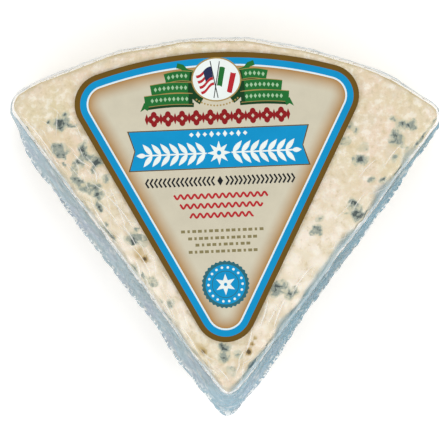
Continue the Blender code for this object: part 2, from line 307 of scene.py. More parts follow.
def make_paste_material():
    """Cream paste of a pressed, ripened blue cheese: moist, fatty, faintly crumbly.

    It gives the eye a warm cream that drifts between yellow, pink and green-grey, crumbs
    with painted shade, a darker yellow, in their valleys, blue-grey mould with a green-grey
    halo, and a soft uneven sheen.
    """
    material, tree, output = new_material("ripened_blue_cheese_paste")
    place = add(tree, "ShaderNodeTexCoord", {}, {}).outputs["Object"]
    named = {}
    for name in ("mould", "opening", "rind", "middle", "valley_shade"):
        named[name] = add(tree, "ShaderNodeAttribute", {"attribute_name": name}, {}).outputs["Fac"]
    mould = named["mould"]

    # Base colour: broad drifts of yellow, pink and green-grey cream.
    drift = add(tree, "ShaderNodeTexNoise", {}, {
        "Vector": place, "Scale": per_size(13), "Detail": 2.0, "Roughness": 0.5,
    }).outputs["Fac"]
    drift = add(tree, "ShaderNodeMapRange", SMOOTH, {
        "Value": drift, "From Min": 0.36, "From Max": 0.62,
    }).outputs[0]
    cream = add(tree, "ShaderNodeMix", {"data_type": "RGBA"}, {
        0: drift, 6: linear("#E2D6B6"), 7: linear("#EAD7C0"),
    }).outputs[2]
    cold = add(tree, "ShaderNodeTexNoise", {}, {
        "Vector": place, "Scale": per_size(6.5), "Detail": 3.0, "Roughness": 0.6,
    }).outputs["Fac"]
    cold = add(tree, "ShaderNodeMapRange", SMOOTH, {
        "Value": cold, "From Min": 0.52, "From Max": 0.72, "To Max": 0.5,
    }).outputs[0]
    cream = add(tree, "ShaderNodeMix", {"data_type": "RGBA"}, {
        0: cold, 6: cream, 7: linear("#D6D3BC"),
    }).outputs[2]
    pale = add(tree, "ShaderNodeMath", {"operation": "MULTIPLY"}, {
        0: named["middle"], 1: 0.95,
    }).outputs[0]
    cream = add(tree, "ShaderNodeMix", {"data_type": "RGBA"}, {
        0: pale, 6: cream, 7: linear("#F7EDDE"),
    }).outputs[2]

    # Curds: small paler lumps, with painted shade, a darker yellow, in the valleys between crumbs.
    curds = add(tree, "ShaderNodeTexNoise", {}, {
        "Vector": place, "Scale": per_size(2.2), "Detail": 5.0, "Roughness": 0.66,
    }).outputs["Fac"]
    paler = add(tree, "ShaderNodeMapRange", SMOOTH, {
        "Value": curds, "From Min": 0.48, "From Max": 0.62, "To Max": 0.75,
    }).outputs[0]
    cream = add(tree, "ShaderNodeMix", {"data_type": "RGBA"}, {
        0: paler, 6: cream, 7: linear("#F8F2E4"),
    }).outputs[2]
    deeper = add(tree, "ShaderNodeMapRange", SMOOTH, {
        "Value": curds, "From Min": 0.45, "From Max": 0.34, "To Max": 0.6,
    }).outputs[0]
    cream = add(tree, "ShaderNodeMix", {"data_type": "RGBA"}, {
        0: deeper, 6: cream, 7: linear("#CFC09E"),
    }).outputs[2]
    # Painted shade: the crumbs' valleys darkened towards tan-yellow.
    valley_shade = add(tree, "ShaderNodeMath", {"operation": "MULTIPLY"}, {
        0: named["valley_shade"], 1: 0.4,
    }).outputs[0]
    cream = add(tree, "ShaderNodeMix", {"data_type": "RGBA"}, {
        0: valley_shade, 6: cream, 7: linear("#D8C69A"),
    }).outputs[2]

    # The rind: drier and yellower, with tan blotches.
    blotch = add(tree, "ShaderNodeTexNoise", {}, {
        "Vector": place, "Scale": per_size(5), "Detail": 4.0, "Roughness": 0.6,
    }).outputs["Fac"]
    blotch = add(tree, "ShaderNodeMapRange", SMOOTH, {
        "Value": blotch, "From Min": 0.45, "From Max": 0.7,
    }).outputs[0]
    crust = add(tree, "ShaderNodeMix", {"data_type": "RGBA"}, {
        0: blotch, 6: linear("#D6C598"), 7: linear("#BFA878"),
    }).outputs[2]
    cream = add(tree, "ShaderNodeMix", {"data_type": "RGBA"}, {
        0: named["rind"], 6: cream, 7: crust,
    }).outputs[2]

    # Mould: a green-grey halo, grey growth in angular blots and cracks, near-black cores.
    blots = add(tree, "ShaderNodeTexNoise", {}, {
        "Vector": place, "Scale": per_size(1.9), "Detail": 3.0, "Roughness": 0.58,
    }).outputs["Fac"]
    warp = add(tree, "ShaderNodeTexNoise", {}, {
        "Vector": place, "Scale": per_size(2.4), "Detail": 2.0,
    }).outputs["Color"]
    bent = add(tree, "ShaderNodeVectorMath", {"operation": "MULTIPLY_ADD"}, {
        0: warp, 1: (2.4 * MM,) * 3, 2: place,
    }).outputs[0]
    cells = add(tree, "ShaderNodeTexVoronoi", {"feature": "DISTANCE_TO_EDGE"}, {
        "Vector": bent, "Scale": per_size(2.7),
    }).outputs["Distance"]
    cracks = add(tree, "ShaderNodeMapRange", SMOOTH, {
        "Value": cells, "From Min": 0.0, "From Max": 0.15, "To Min": 0.2, "To Max": 0.0,
    }).outputs[0]
    growth = add(tree, "ShaderNodeMath", {"operation": "MULTIPLY_ADD"}, {
        0: blots, 1: 1.9, 2: -1.04,
    }).outputs[0]
    growth = add(tree, "ShaderNodeMath", {"operation": "ADD"}, {0: growth, 1: mould}).outputs[0]
    growth = add(tree, "ShaderNodeMath", {"operation": "ADD"}, {0: growth, 1: cracks}).outputs[0]
    near = add(tree, "ShaderNodeMapRange", SMOOTH, {
        "Value": mould, "From Min": 0.04, "From Max": 0.28,
    }).outputs[0]
    tinted = cream
    for start, end, most, colour in (
        (-0.45, 0.45, 0.66, "#C0C3AB"),
        (0.34, 0.72, 0.85, "#8A9790"),
        (0.76, 1.04, 0.92, "#3E4C4E"),
    ):
        share = add(tree, "ShaderNodeMapRange", SMOOTH, {
            "Value": growth, "From Min": start, "From Max": end, "To Max": most,
        }).outputs[0]
        share = add(tree, "ShaderNodeMath", {"operation": "MULTIPLY"}, {
            0: share, 1: near,
        }).outputs[0]
        tinted = add(tree, "ShaderNodeMix", {"data_type": "RGBA"}, {
            0: share, 6: tinted, 7: linear(colour),
        }).outputs[2]

    # Openings: yellow fat round the edge, brown inside.
    for start, end, most, colour in ((0.02, 0.5, 0.8, "#BFA25E"), (0.5, 0.85, 0.9, "#4E3C1C")):
        share = add(tree, "ShaderNodeMapRange", SMOOTH, {
            "Value": named["opening"], "From Min": start, "From Max": end, "To Max": most,
        }).outputs[0]
        tinted = add(tree, "ShaderNodeMix", {"data_type": "RGBA"}, {
            0: share, 6: tinted, 7: linear(colour),
        }).outputs[2]

    # Relief finer than the mesh: low, soft curd edges.
    bump = add(tree, "ShaderNodeBump", {}, {
        "Height": curds, "Strength": 0.5, "Distance": 0.35 * MM,
    }).outputs[0]
    wet = add(tree, "ShaderNodeMapRange", {}, {
        "Value": curds, "To Min": 0.36, "To Max": 0.6,
    }).outputs[0]
    shader = add(tree, "ShaderNodeBsdfPrincipled", {}, {
        "Base Color": tinted,
        "Roughness": wet,
        "Normal": bump,
        "IOR": 1.46,
        "Specular IOR Level": 0.18,
        "Subsurface Weight": 0.1,
        "Subsurface Scale": 1.5 * MM,
        "Subsurface Radius": (1.0, 0.7, 0.4),
    })
    tree.links.new(shader.outputs[0], output.inputs["Surface"])
    return material


def make_crumb_tree():
    """Geometry Nodes: sinks the paste inside the film, into lumps, crumbs and openings."""
    tree, given = new_tree(
        "crumbled paste",
        ("Gap", "Lump Size", "Lump Depth", "Crumb Size", "Crumb Depth", "Opening Depth", "Seed"),
    )
    place = add(tree, "GeometryNodeInputPosition", {}, {}).outputs[0]
    normal = add(tree, "GeometryNodeInputNormal", {}, {}).outputs[0]
    named = {}
    for name in ("side", "opening", "mould", "based"):
        named[name] = add(tree, "GeometryNodeInputNamedAttribute", {"data_type": "FLOAT"}, {
            "Name": name,
        }).outputs["Attribute"]

    lump_scale = add(tree, "ShaderNodeMath", {"operation": "DIVIDE"}, {
        0: 1.0, 1: given["Lump Size"],
    }).outputs[0]
    lumps = add(tree, "ShaderNodeTexNoise", {"noise_dimensions": "4D"}, {
        "Vector": place, "W": given["Seed"], "Scale": lump_scale, "Detail": 2.0,
    }).outputs["Fac"]
    lumps = add(tree, "ShaderNodeMath", {"operation": "MULTIPLY"}, {
        0: lumps, 1: given["Lump Depth"],
    }).outputs[0]

    crumb_scale = add(tree, "ShaderNodeMath", {"operation": "DIVIDE"}, {
        0: 1.0, 1: given["Crumb Size"],
    }).outputs[0]
    warp = add(tree, "ShaderNodeTexNoise", {}, {
        "Vector": place, "Scale": per_size(3), "Detail": 2.0,
    }).outputs["Color"]
    bent = add(tree, "ShaderNodeVectorMath", {"operation": "MULTIPLY_ADD"}, {
        0: warp, 1: (2.5 * MM,) * 3, 2: place,
    }).outputs[0]
    crumbs = add(tree, "ShaderNodeTexVoronoi", {"feature": "SMOOTH_F1"}, {
        "Vector": bent, "Scale": crumb_scale, "Smoothness": 0.35,
    }).outputs["Distance"]
    valleys = add(tree, "ShaderNodeMapRange", SMOOTH, {
        "Value": crumbs, "From Min": 0.3, "From Max": 0.75,
    }).outputs[0]
    crumbs = add(tree, "ShaderNodeMath", {"operation": "MULTIPLY"}, {
        0: valleys, 1: named["side"],
    }).outputs[0]
    crumbs = add(tree, "ShaderNodeMath", {"operation": "MULTIPLY"}, {
        0: crumbs, 1: given["Crumb Depth"],
    }).outputs[0]

    pits = add(tree, "ShaderNodeMath", {"operation": "MULTIPLY"}, {
        0: named["opening"], 1: given["Opening Depth"],
    }).outputs[0]
    blots = add(tree, "ShaderNodeTexNoise", {}, {
        "Vector": place, "Scale": per_size(1.7), "Detail": 3.0, "Roughness": 0.62,
    }).outputs["Fac"]
    dents = add(tree, "ShaderNodeMath", {"operation": "MULTIPLY"}, {
        0: blots, 1: named["mould"],
    }).outputs[0]
    dents = add(tree, "ShaderNodeMath", {"operation": "MULTIPLY"}, {
        0: dents, 1: 0.45 * MM,
    }).outputs[0]

    sink = given["Gap"]
    for part in (lumps, crumbs, pits, dents):
        held = add(tree, "ShaderNodeMath", {"operation": "MULTIPLY"}, {
            0: part, 1: named["based"],
        }).outputs[0]
        sink = add(tree, "ShaderNodeMath", {"operation": "ADD"}, {0: sink, 1: held}).outputs[0]
    inward = add(tree, "ShaderNodeMath", {"operation": "MULTIPLY"}, {0: sink, 1: -1.0}).outputs[0]
    offset = add(tree, "ShaderNodeVectorMath", {"operation": "SCALE"}, {
        0: normal, "Scale": inward,
    }).outputs[0]
    # Keeps where the crumbs' valleys are, for the painted shade in the paste's colour.
    kept = add(tree, "GeometryNodeStoreNamedAttribute", {"data_type": "FLOAT"}, {
        "Geometry": given["Geometry"], "Name": "valley_shade", "Value": valleys,
    }).outputs[0]
    moved = add(tree, "GeometryNodeSetPosition", {}, {
        "Geometry": kept, "Offset": offset,
    }).outputs[0]
    end_tree(tree, moved, given["Material"])
    return tree


def make_paste():
    piece = remeshed_copy("paste", "cheese_wedge", PASTE_VOXEL)
    mesh = piece.data
    places, normals = places_and_normals(mesh)
    rind = on_rind(places)
    noise.seed_set(SWIRL_SEED)
    swirl = np.array([noise.noise_vector(Vector(place) / SWIRL_SIZE) for place in places])
    swirled = places + swirl * SWIRL_DEPTH
    spots = [
        (from_apex(x, y, FACE_HEIGHT), size * MM, strength) for x, y, size, strength in TOP_MOULD
    ]
    for x1, y1, x2, y2 in TOP_CRACKS:
        steps = int(math.hypot(x2 - x1, y2 - y1) / 0.5)
        for k in range(steps + 1):
            x, y = x1 + (x2 - x1) * k / steps, y1 + (y2 - y1) * k / steps
            spots.append((from_apex(x, y, FACE_HEIGHT), CRACK_GIRTH * MM, CRACK_STRENGTH))
    spots += hidden_spots(places, normals, rind)
    openings = [
        (from_apex(x, y, FACE_HEIGHT), size * MM, depth) for x, y, size, depth in TOP_OPENINGS
    ]
    along = np.linalg.norm(places[:, :2] - np.array(APEX), axis=1)
    store(mesh, "mould", grown(swirled, spots))
    store(mesh, "opening", grown(places + swirl * SWIRL_DEPTH * 0.4, openings))
    store(mesh, "rind", rind * smoothstep(0.8, 0.3, normals[:, 2]))
    crumbly = 1 - 0.6 * smoothstep(0.4, 0.95, np.abs(normals[:, 2]))
    store(mesh, "side", crumbly * (1 - 0.75 * rind))
    store(mesh, "based", 1 - smoothstep(0.5, 0.95, -normals[:, 2]) * 0.7)
    store(mesh, "middle", np.exp(-(((along - 42 * MM) / (26 * MM)) ** 2)))
    run_tree(piece, make_crumb_tree(), {
        "Gap": FILM_GAP,
        "Lump Size": 7 * MM,
        "Lump Depth": 0.5 * MM,
        "Crumb Size": 3.4 * MM,
        "Crumb Depth": 0.55 * MM,
        "Opening Depth": 1.1 * MM,
        "Seed": 3.0,
        "Material": make_paste_material(),
    })
    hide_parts("cheese_wedge")
    return piece


# ---------------------------------------------------------------- film

SKIN_VOXEL = 0.6 * MM
SKIN_LIFT = 0.08 * MM  # outside the wedge's solid
SEAL_TENT = 0.25 * MM  # how far the seal pulls the film off the walls
SEAL_TENT_REACH = 1.6 * MM
SEAL_MILKINESS = 0.02

# Painted shade and reflection, a blue-grey band along the upper edge of the left and right cut
# sides: its width in millimetres, and strength.
EDGE_SHADE_BANDS = ((-1, 1.6, 0.68), (1, 3.0, 0.8))

# Folds in the film over the upper face: both ends and bend from the apex, girth, in mm.
TOP_FOLDS = (
    (-36.2, 61.0, -27.6, 50.6, 0.6, 0.27), (-38.7, 59.3, -32.3, 52.3, 0.4, 0.20),
    (-45.4, 72.9, -40.3, 69.0, -0.5, 0.24), (-39.8, 68.4, -38.6, 64.0, 0.7, 0.27),
    (-59.5, 82.8, -50.9, 71.8, 0.3, 0.22), (-32.9, 58.1, -29.8, 50.0, 0.3, 0.22),
    (-27.6, 42.5, -25.6, 36.1, 0.4, 0.30), (-30.0, 47.0, -22.5, 36.0, 1.2, 0.19),
    (-35.0, 46.5, -24.0, 32.0, -0.8, 0.20), (-19.0, 29.5, -16.3, 24.6, 0.2, 0.27),
    (-40.5, 60.0, -33.5, 48.5, -0.6, 0.22), (-31.5, 52.5, -26.5, 44.5, 0.5, 0.19),
    (11.3, 30.5, 8.8, 22.2, 0.3, 0.32), (16.3, 30.5, 12.8, 21.5, -0.3, 0.27),
    (14.0, 29.0, 11.0, 23.0, 0.2, 0.19), (6.6, 21.5, 4.6, 14.6, 0.3, 0.32),
    (3.2, 12.6, 1.9, 9.0, 0.2, 0.27), (24.0, 40.0, 18.0, 31.0, -0.5, 0.19),
    (-14.0, 22.5, -9.0, 14.5, 0.4, 0.22), (4.6, 15.8, 2.6, 11.6, -0.3, 0.22),
    (44.5, 68.0, 50.5, 76.0, 0.4, 0.14), (-3.5, 10.5, 0.0, 6.5, 0.3, 0.19),
)  # fmt: skip

FOLD_SEED = 23
TOP_FOLD_COUNTS = (60, 12)  # left and right
WALL_FOLD_COUNT = 230
FOLD_STEPS = 12
FOLD_LIFT = 0.06 * MM  # of a fold's middle, over the film


def make_film_material(name, tint):
    """Clear film of polyamide and polyethylene, drawn tight by vacuum and heat-sealed.

    It gives the eye a bright wet-looking gloss over what lies under it, milky where it is
    folded or doubled, with painted shade and reflection, a blue-grey band, where it leaves the
    cheese for the seal. Where it is clear, its gloss is a thin share of white metal, which grows
    as the film turns away.
    """
    material, tree, output = new_material(name)
    place = add(tree, "ShaderNodeTexCoord", {}, {}).outputs["Object"]
    milky = add(tree, "ShaderNodeAttribute", {"attribute_name": "milky"}, {}).outputs["Fac"]
    slant = add(tree, "ShaderNodeLayerWeight", {}, {"Blend": 0.5}).outputs["Facing"]
    mirror = add(tree, "ShaderNodeMath", {"operation": "POWER"}, {0: slant, 1: 5.0}).outputs[0]
    clear = add(tree, "ShaderNodeMath", {"operation": "MULTIPLY_ADD", "use_clamp": True}, {
        0: mirror, 1: 0.07, 2: 0.04,
    }).outputs[0]
    # Painted shade and reflection: a blue-grey band, near opaque, along the cut sides' upper edges.
    edge_shade = add(tree, "ShaderNodeAttribute", {"attribute_name": "edge_shade"}, {}).outputs["Fac"]
    haze_and_shade = add(tree, "ShaderNodeMath", {"operation": "MAXIMUM"}, {0: milky, 1: edge_shade}).outputs[0]
    alpha = add(tree, "ShaderNodeMath", {"operation": "MAXIMUM"}, {0: clear, 1: haze_and_shade}).outputs[0]
    metallic = add(tree, "ShaderNodeMapRange", SMOOTH, {
        "Value": haze_and_shade, "From Min": 0.0, "From Max": 0.25, "To Min": 1.0, "To Max": 0.0,
    }).outputs[0]
    # The painted shade and reflection band's share of blue-grey.
    bluer = add(tree, "ShaderNodeMapRange", {}, {"Value": edge_shade, "From Max": 0.25}).outputs[0]
    colour = add(tree, "ShaderNodeMix", {"data_type": "RGBA"}, {
        0: bluer, 6: linear(tint), 7: linear("#8FB3C2"),
    }).outputs[2]
    creases = add(tree, "ShaderNodeTexNoise", {}, {
        "Vector": place, "Scale": per_size(1.9), "Detail": 3.0, "Roughness": 0.55,
    }).outputs["Fac"]
    bump = add(tree, "ShaderNodeBump", {}, {
        "Height": creases, "Strength": 0.7, "Distance": 0.3 * MM,
    }).outputs[0]
    smear = add(tree, "ShaderNodeMapRange", {}, {
        "Value": creases, "From Min": 0.3, "From Max": 0.7, "To Min": 0.14, "To Max": 0.34,
    }).outputs[0]
    shader = add(tree, "ShaderNodeBsdfPrincipled", {}, {
        "Base Color": colour,
        "Metallic": metallic,
        "Roughness": smear,
        "IOR": 1.5,
        "Specular IOR Level": 0.12,
        "Alpha": alpha,
        "Normal": bump,
    })
    tree.links.new(shader.outputs[0], output.inputs["Surface"])
    return material


def make_skin_tree():
    """Geometry Nodes: lifts the film off the wedge, pleated on walls, crinkled at edges."""
    tree, given = new_tree(
        "clinging film",
        ("Lift", "Pleat Size", "Pleat Height", "Crinkle Size", "Crinkle Height", "Seed"),
    )
    place = add(tree, "GeometryNodeInputPosition", {}, {}).outputs[0]
    normal = add(tree, "GeometryNodeInputNormal", {}, {}).outputs[0]
    named = {}
    for name in ("edge", "wall", "tent"):
        named[name] = add(tree, "GeometryNodeInputNamedAttribute", {"data_type": "FLOAT"}, {
            "Name": name,
        }).outputs["Attribute"]
    upright = add(tree, "ShaderNodeVectorMath", {"operation": "MULTIPLY"}, {
        0: place, 1: (1.0, 1.0, 0.12),
    }).outputs[0]
    waves = []
    for where, size, height, start, end, held in (
        (upright, "Pleat Size", "Pleat Height", 0.48, 0.72, "wall"),
        (place, "Crinkle Size", "Crinkle Height", 0.35, 0.65, "edge"),
    ):
        scale = add(tree, "ShaderNodeMath", {"operation": "DIVIDE"}, {
            0: 1.0, 1: given[size],
        }).outputs[0]
        wave = add(tree, "ShaderNodeTexNoise", {"noise_dimensions": "4D"}, {
            "Vector": where, "W": given["Seed"], "Scale": scale, "Detail": 1.0,
        }).outputs["Fac"]
        wave = add(tree, "ShaderNodeMapRange", SMOOTH, {
            "Value": wave, "From Min": start, "From Max": end,
        }).outputs[0]
        wave = add(tree, "ShaderNodeMath", {"operation": "MULTIPLY"}, {
            0: wave, 1: given[height],
        }).outputs[0]
        waves.append(add(tree, "ShaderNodeMath", {"operation": "MULTIPLY"}, {
            0: wave, 1: named[held],
        }).outputs[0])
    lift = given["Lift"]
    for part in (*waves, named["tent"]):
        lift = add(tree, "ShaderNodeMath", {"operation": "ADD"}, {0: lift, 1: part}).outputs[0]
    offset = add(tree, "ShaderNodeVectorMath", {"operation": "SCALE"}, {
        0: normal, "Scale": lift,
    }).outputs[0]
    moved = add(tree, "GeometryNodeSetPosition", {}, {
        "Geometry": given["Geometry"], "Offset": offset,
    }).outputs[0]
    end_tree(tree, moved, given["Material"])
    return tree


def painted_edge_shade(places):
    """Painted shade and reflection on the film along the upper edge of each cut side, in the seal's
    blue-grey.
    """
    plan = (places[:, :2] - np.array(APEX)) / MM
    along = np.linalg.norm(plan, axis=1)
    wander = np.array([noise.noise(Vector(place) / (7 * MM)) for place in places])
    lowest = (3 * wander - 4.2) * MM
    high = smoothstep(lowest, lowest + 2.2 * MM, places[:, 2] - FACE_HEIGHT)
    edge_shade = np.zeros(len(places))
    lean = WEDGE_ANGLE / 2
    for side, width, most in EDGE_SHADE_BANDS:
        depth = plan[:, 1] * math.sin(lean) - side * plan[:, 0] * math.cos(lean)
        share = smoothstep(width * (1 + wander), 0.1, depth)
        edge_shade = np.maximum(edge_shade, share * most)
    return edge_shade * high * smoothstep(98, 84, along) * smoothstep(1, 5, along)


def make_film_skin():
    piece = remeshed_copy("film_skin", "cheese_wedge", SKIN_VOXEL)
    mesh = piece.data
    places, normals = places_and_normals(mesh)
    wall = 1 - smoothstep(0.3, 0.8, np.abs(normals[:, 2]))
    near_seal = np.exp(-(((places[:, 2] - SEAL_HEIGHT) / SEAL_TENT_REACH) ** 2)) * wall
    store(mesh, "edge", 1 - smoothstep(0.7, 0.99, np.abs(normals[:, 2])))
    store(mesh, "wall", wall)
    store(mesh, "tent", near_seal * SEAL_TENT)
    store(mesh, "milky", near_seal * SEAL_MILKINESS)
    # Painted shade and reflection along the cut sides' upper edges.
    store(mesh, "edge_shade", painted_edge_shade(places))
    run_tree(piece, make_skin_tree(), {
        "Lift": SKIN_LIFT,
        "Pleat Size": 3.2 * MM,
        "Pleat Height": 0.22 * MM,
        "Crinkle Size": 2.2 * MM,
        "Crinkle Height": 0.16 * MM,
        "Seed": 5.0,
        "Material": make_film_material("vacuum_drawn_clear_film", "#F1EBDC"),
    })
    return piece


def make_fold_tree():
    """Geometry Nodes: turns lines with a girth into welts of doubled film."""
    tree, given = new_tree("film folds", ("Milkiness",))
    girth = add(tree, "GeometryNodeInputNamedAttribute", {"data_type": "FLOAT"}, {
        "Name": "girth",
    }).outputs["Attribute"]
    lines = add(tree, "GeometryNodeMeshToCurve", {}, {"Mesh": given["Geometry"]}).outputs[0]
    circle = add(tree, "GeometryNodeCurvePrimitiveCircle", {}, {
        "Resolution": 6, "Radius": 1.0,
    }).outputs[0]
    welts = add(tree, "GeometryNodeCurveToMesh", {}, {
        "Curve": lines, "Profile Curve": circle, "Scale": girth, "Fill Caps": True,
    }).outputs[0]
    kept = add(tree, "GeometryNodeStoreNamedAttribute", {"data_type": "FLOAT"}, {
        "Geometry": welts, "Name": "milky", "Value": given["Milkiness"],
    }).outputs[0]
    end_tree(tree, kept, given["Material"])
    return tree


def wedge_surface():
    """The wedge's CAD solid, ready to drop or throw points onto."""
    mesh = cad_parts["cheese_wedge"].data
    return BVHTree.FromPolygons(
        [v.co for v in mesh.vertices], [tuple(p.vertices) for p in mesh.polygons]
    )


def in_label(x_mm, y_mm, margin):
    """Whether a place from the apex lies under the label, or within a margin of it."""
    place = Vector((x_mm, y_mm)) - LABEL_APEX / MM
    place.rotate(Matrix.Rotation(-LABEL_TURN, 2))
    outline = label_outline(-margin)
    return bool(inside(outline, np.array([tuple(place)]))[0])


def random_top_folds(chance):
    """Folds that run mostly along the nearer cut side, clear of the label."""
    folds = []
    for side, count in zip((-1, 1), TOP_FOLD_COUNTS):
        lean = side * WEDGE_ANGLE / 2
        along = Vector((math.sin(lean), math.cos(lean)))
        inward = Vector((-side * along.y, side * along.x))
        while count:
            reach = chance.uniform(8, 100)
            depth = chance.uniform(0.6, 1.6 + 0.15 * reach)
            middle = along * reach + inward * depth
            way = along.copy()
            way.rotate(Matrix.Rotation(chance.gauss(0, 0.28), 2))
            half = chance.uniform(1.2, 4.2)
            start, end = middle - way * half, middle + way * half
            if any(in_label(p.x, p.y, 0.5) for p in (start, middle, end)):
                continue
            folds.append((*start, *end, chance.gauss(0, 0.35), chance.uniform(0.06, 0.15)))
            count -= 1
    return folds


def top_line(surface, fold):
    """Points along a fold on the upper face, with the girth at each."""
    x1, y1, x2, y2, bend, girth = fold
    start, way = Vector((x1, y1)), Vector((x2 - x1, y2 - y1))
    side = Vector((-way.y, way.x)).normalized()
    line = []
    for k in range(FOLD_STEPS):
        share = k / (FOLD_STEPS - 1)
        arch = math.sin(math.pi * share)
        plan = start + way * share + side * bend * arch
        above = from_apex(plan.x, plan.y, 2 * FACE_HEIGHT)
        place, normal = surface.ray_cast(above, Vector((0, 0, -1)))[:2]
        if place is None:
            return []
        line.append((place + normal * (SKIN_LIFT + FOLD_LIFT), girth * MM * (0.2 + 0.8 * arch)))
    return line


def wall_line(surface, chance):
    """Points along a fold that runs up or down a wall from the seal."""
    middle = sum(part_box("cheese_wedge"), Vector()) / 2
    turn = chance.uniform(0, 2 * math.pi)
    drift = chance.gauss(0, 0.02)
    up = chance.choice((-1, 1))
    start = SEAL_HEIGHT + up * chance.uniform(0.3, 2.5) * MM
    run = up * chance.uniform(3, 12) * MM
    girth = chance.uniform(0.07, 0.2) * MM
    line = []
    for k in range(FOLD_STEPS):
        share = k / (FOLD_STEPS - 1)
        angle = turn + drift * share
        way = Vector((math.cos(angle), math.sin(angle), 0))
        outside = Vector((middle.x, middle.y, start + run * share)) + way * 0.2
        place, normal = surface.ray_cast(outside, -way)[:2]
        if place is None:
            return []
        line.append((place + normal * (SKIN_LIFT + FOLD_LIFT), girth * (1.1 - share)))
    return line


def make_film_folds():
    chance = random.Random(FOLD_SEED)
    surface = wedge_surface()
    lines = [top_line(surface, fold) for fold in (*TOP_FOLDS, *random_top_folds(chance))]
    lines += [wall_line(surface, chance) for _ in range(WALL_FOLD_COUNT)]
    places, girths, edges = [], [], []
    for line in lines:
        first = len(places)
        places += [place for place, _ in line]
        girths += [girth for _, girth in line]
        edges += [(k, k + 1) for k in range(first, first + len(line) - 1)]
    mesh = bpy.data.meshes.new("film_folds")
    mesh.from_pydata(places, edges, [])
    store(mesh, "girth", girths)
    piece = run_tree(new_piece("film_folds", mesh), make_fold_tree(), {
        "Milkiness": 0.36,
        "Material": make_film_material("doubled_clear_film", "#FFFDF8"),
    })
    piece.data.shade_smooth()
    return piece


def make_seal_material():
    """Two webs of the film heat-sealed together: stiffer, hazy, with a cold blue cast.

    It gives the eye a translucent strip, streaked along its length, greyer on the left,
    bluer on the right and clearer on the rind, with white glints along its crinkled edge.
    """
    material, tree, output = new_material("heat_sealed_film_edge")
    place = add(tree, "ShaderNodeTexCoord", {}, {}).outputs["Object"]
    sheet = add(tree, "ShaderNodeAttribute", {"attribute_name": "sheet"}, {}).outputs["Vector"]
    edge = add(tree, "ShaderNodeAttribute", {"attribute_name": "edge"}, {}).outputs["Fac"]
    folded = add(tree, "ShaderNodeAttribute", {"attribute_name": "folded"}, {}).outputs["Fac"]
    sideways = add(tree, "ShaderNodeSeparateXYZ", {}, {"Vector": place}).outputs["X"]
    bluer = add(tree, "ShaderNodeMapRange", SMOOTH, {
        "Value": sideways, "From Min": -25 * MM, "From Max": 25 * MM,
    }).outputs[0]
    colour = add(tree, "ShaderNodeMix", {"data_type": "RGBA"}, {
        0: bluer, 6: linear("#9CC0D0"), 7: linear("#2A96B6"),
    }).outputs[2]
    drift = add(tree, "ShaderNodeTexNoise", {}, {
        "Vector": sheet, "Scale": per_size(11), "Detail": 2.0,
    }).outputs["Fac"]
    greyest = add(tree, "ShaderNodeMapRange", {}, {
        "Value": bluer, "To Min": 0.5, "To Max": 0.2,
    }).outputs[0]
    drift = add(tree, "ShaderNodeMapRange", SMOOTH, {
        "Value": drift, "From Min": 0.42, "From Max": 0.66, "To Max": greyest,
    }).outputs[0]
    colour = add(tree, "ShaderNodeMix", {"data_type": "RGBA"}, {
        0: drift, 6: colour, 7: linear("#A9B4D2"),
    }).outputs[2]
    streaks = add(tree, "ShaderNodeTexNoise", {}, {
        "Vector": sheet, "Scale": per_size(4), "Detail": 4.0, "Roughness": 0.6,
    }).outputs["Fac"]
    glint = add(tree, "ShaderNodeTexNoise", {}, {
        "Vector": place, "Scale": per_size(1.1), "Detail": 2.0, "Roughness": 0.6,
    }).outputs["Fac"]
    glint = add(tree, "ShaderNodeMapRange", SMOOTH, {
        "Value": glint, "From Min": 0.47, "From Max": 0.55,
    }).outputs[0]
    glint = add(tree, "ShaderNodeMath", {"operation": "MULTIPLY"}, {0: glint, 1: edge}).outputs[0]
    lighter = add(tree, "ShaderNodeMapRange", SMOOTH, {
        "Value": streaks, "From Min": 0.5, "From Max": 0.72, "To Max": 0.7,
    }).outputs[0]
    lighter = add(tree, "ShaderNodeMath", {"operation": "MAXIMUM"}, {
        0: lighter, 1: glint,
    }).outputs[0]
    colour = add(tree, "ShaderNodeMix", {"data_type": "RGBA"}, {
        0: lighter, 6: colour, 7: linear("#F4FAFC"),
    }).outputs[2]
    alpha = add(tree, "ShaderNodeMapRange", {}, {
        "Value": streaks, "From Min": 0.3, "From Max": 0.7, "To Min": 0.42, "To Max": 0.62,
    }).outputs[0]
    alpha = add(tree, "ShaderNodeMath", {"operation": "MAXIMUM"}, {0: alpha, 1: glint}).outputs[0]
    flat = add(tree, "ShaderNodeMapRange", {}, {
        "Value": folded, "To Min": 1.0, "To Max": 0.3,
    }).outputs[0]
    alpha = add(tree, "ShaderNodeMath", {"operation": "MULTIPLY"}, {0: alpha, 1: flat}).outputs[0]
    bump = add(tree, "ShaderNodeBump", {}, {
        "Height": streaks, "Strength": 0.7, "Distance": 0.5 * MM,
    }).outputs[0]
    shader = add(tree, "ShaderNodeBsdfPrincipled", {}, {
        "Base Color": colour,
        "Roughness": 0.22,
        "IOR": 1.5,
        "Alpha": alpha,
        "Normal": bump,
    })
    tree.links.new(shader.outputs[0], output.inputs["Surface"])
    return material


